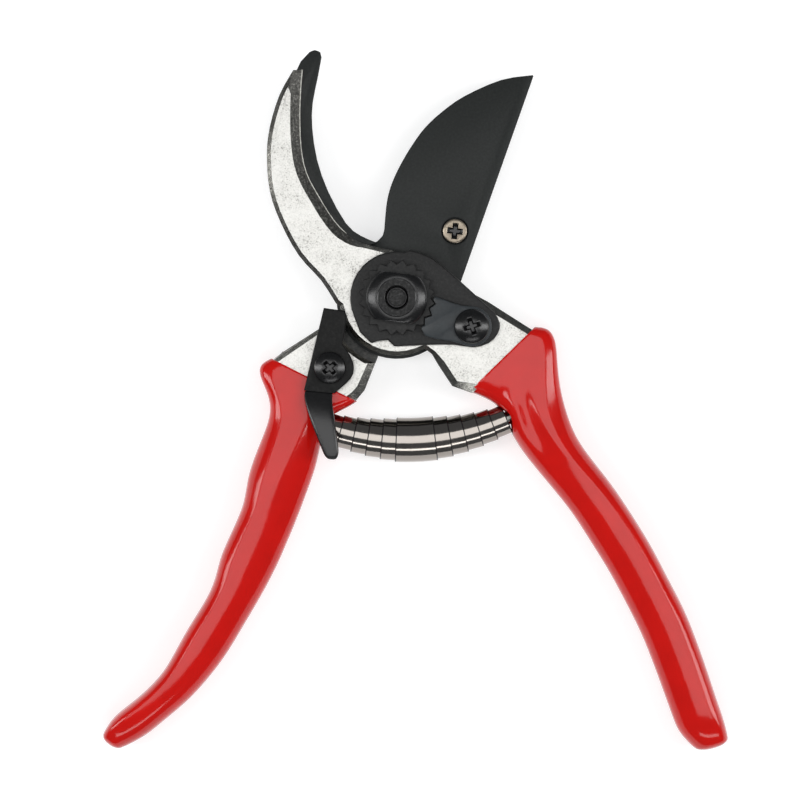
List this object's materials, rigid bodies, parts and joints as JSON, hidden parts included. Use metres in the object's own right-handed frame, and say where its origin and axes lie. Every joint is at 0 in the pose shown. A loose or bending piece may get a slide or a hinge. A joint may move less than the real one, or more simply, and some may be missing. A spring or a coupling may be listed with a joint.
{
  "type": "pruning shears",
  "caption": "Bypass pruning shears with a hooked counter blade, a curved cutting blade, dipped grips, a volute spring and a thumb latch.",
  "frame": {"origin": "on the pivot axis, at the centre of the pivot bolt head's flat back face, which lies on the table", "axes": "+Y from the grips up to the jaws, +Z along the pivot axis out of the front, +X to the right seen from the front"},
  "size_m": [0.1673, 0.1883, 0.0198],
  "materials": {
    "forged_aluminium": "bright satin, blasted face with ground edges",
    "red_dip": "glossy dipped PVC",
    "black_coating": "matt-satin non-stick coating",
    "black_plate": "finely rough black",
    "black_oxide": "glossy oiled black oxide",
    "blue_steel": "smooth dark blue-grey steel",
    "bright_steel": "bright warm-grey steel",
    "nickel": "polished nickel"
  },
  "bodies": {
    "hook_handle": {"hook_handle": "forged_aluminium", "hook_grip": "red_dip", "counter_blade": "black_coating", "counter_blade_rivet_1": "bright_steel", "counter_blade_rivet_2": "bright_steel", "counter_blade_rivet_3": "bright_steel", "pivot_bolt": "black_oxide", "pivot_bushing": "bright_steel", "lock_plate": "black_plate", "adjusting_nut": "black_oxide", "toothed_segment": "blue_steel", "segment_screw": "black_oxide", "spring_turn_11": "nickel"},
    "blade_handle": {"blade_handle": "forged_aluminium", "blade_grip": "red_dip", "cutting_blade": "black_coating", "blade_screw": "bright_steel", "latch_washer": "bright_steel", "latch_screw": "black_oxide"},
    "thumb_latch": {"thumb_latch": "black_plate"},
    "spring_turn_01": {"spring_turn_01": "nickel"},
    "spring_turn_02": {"spring_turn_02": "nickel"},
    "spring_turn_03": {"spring_turn_03": "nickel"},
    "spring_turn_04": {"spring_turn_04": "nickel"},
    "spring_turn_05": {"spring_turn_05": "nickel"},
    "spring_turn_06": {"spring_turn_06": "nickel"},
    "spring_turn_07": {"spring_turn_07": "nickel"},
    "spring_turn_08": {"spring_turn_08": "nickel"},
    "spring_turn_09": {"spring_turn_09": "nickel"},
    "spring_turn_10": {"spring_turn_10": "nickel"}
  },
  "joints": [
    {"name": "jaw_pivot", "type": "hinge", "parent": "hook_handle", "child": "blade_handle", "pos_m": [0, 0, 0.0067], "axis": [0, 0, 1], "range_deg": [0, 48], "stiffness_Nm_per_rad": 1.2, "springref_deg": -20.05},
    {"name": "latch_pivot", "type": "hinge", "parent": "blade_handle", "child": "thumb_latch", "pos_m": [-0.018, -0.0188, 0.0147], "axis": [0, 0, 1], "range_deg": [-6, 0]},
    {"name": "spring_turn_01_slide", "type": "hinge", "parent": "hook_handle", "child": "spring_turn_01", "pos_m": [0.0025, 0.0288, 0.0075], "axis": [0, 0, 1], "range_deg": [-0.5, 28.05]},
    {"name": "spring_turn_02_slide", "type": "hinge", "parent": "hook_handle", "child": "spring_turn_02", "pos_m": [0.0025, 0.0288, 0.0075], "axis": [0, 0, 1], "range_deg": [-0.5, 25.38]},
    {"name": "spring_turn_03_slide", "type": "hinge", "parent": "hook_handle", "child": "spring_turn_03", "pos_m": [0.0025, 0.0288, 0.0075], "axis": [0, 0, 1], "range_deg": [-0.5, 22.7]},
    {"name": "spring_turn_04_slide", "type": "hinge", "parent": "hook_handle", "child": "spring_turn_04", "pos_m": [0.0025, 0.0288, 0.0075], "axis": [0, 0, 1], "range_deg": [-0.5, 20.03]},
    {"name": "spring_turn_05_slide", "type": "hinge", "parent": "hook_handle", "child": "spring_turn_05", "pos_m": [0.0025, 0.0288, 0.0075], "axis": [0, 0, 1], "range_deg": [-0.5, 17.35]},
    {"name": "spring_turn_06_slide", "type": "hinge", "parent": "hook_handle", "child": "spring_turn_06", "pos_m": [0.0025, 0.0288, 0.0075], "axis": [0, 0, 1], "range_deg": [-0.5, 14.7]},
    {"name": "spring_turn_07_slide", "type": "hinge", "parent": "hook_handle", "child": "spring_turn_07", "pos_m": [0.0025, 0.0288, 0.0075], "axis": [0, 0, 1], "range_deg": [-0.5, 11.88]},
    {"name": "spring_turn_08_slide", "type": "hinge", "parent": "hook_handle", "child": "spring_turn_08", "pos_m": [0.0025, 0.0288, 0.0075], "axis": [0, 0, 1], "range_deg": [-0.5, 9.03]},
    {"name": "spring_turn_09_slide", "type": "hinge", "parent": "hook_handle", "child": "spring_turn_09", "pos_m": [0.0025, 0.0288, 0.0075], "axis": [0, 0, 1], "range_deg": [-0.5, 6.19]},
    {"name": "spring_turn_10_slide", "type": "hinge", "parent": "hook_handle", "child": "spring_turn_10", "pos_m": [0.0025, 0.0288, 0.0075], "axis": [0, 0, 1], "range_deg": [-0.5, 3.35]}
  ],
  "couplings": [
    {"joint": "spring_turn_01_slide", "follows": "jaw_pivot", "ratio": 0.574},
    {"joint": "spring_turn_02_slide", "follows": "jaw_pivot", "ratio": 0.5183},
    {"joint": "spring_turn_03_slide", "follows": "jaw_pivot", "ratio": 0.4626},
    {"joint": "spring_turn_04_slide", "follows": "jaw_pivot", "ratio": 0.4069},
    {"joint": "spring_turn_05_slide", "follows": "jaw_pivot", "ratio": 0.3511},
    {"joint": "spring_turn_06_slide", "follows": "jaw_pivot", "ratio": 0.2959},
    {"joint": "spring_turn_07_slide", "follows": "jaw_pivot", "ratio": 0.2371},
    {"joint": "spring_turn_08_slide", "follows": "jaw_pivot", "ratio": 0.1778},
    {"joint": "spring_turn_09_slide", "follows": "jaw_pivot", "ratio": 0.1186},
    {"joint": "spring_turn_10_slide", "follows": "jaw_pivot", "ratio": 0.0593}
  ]
}
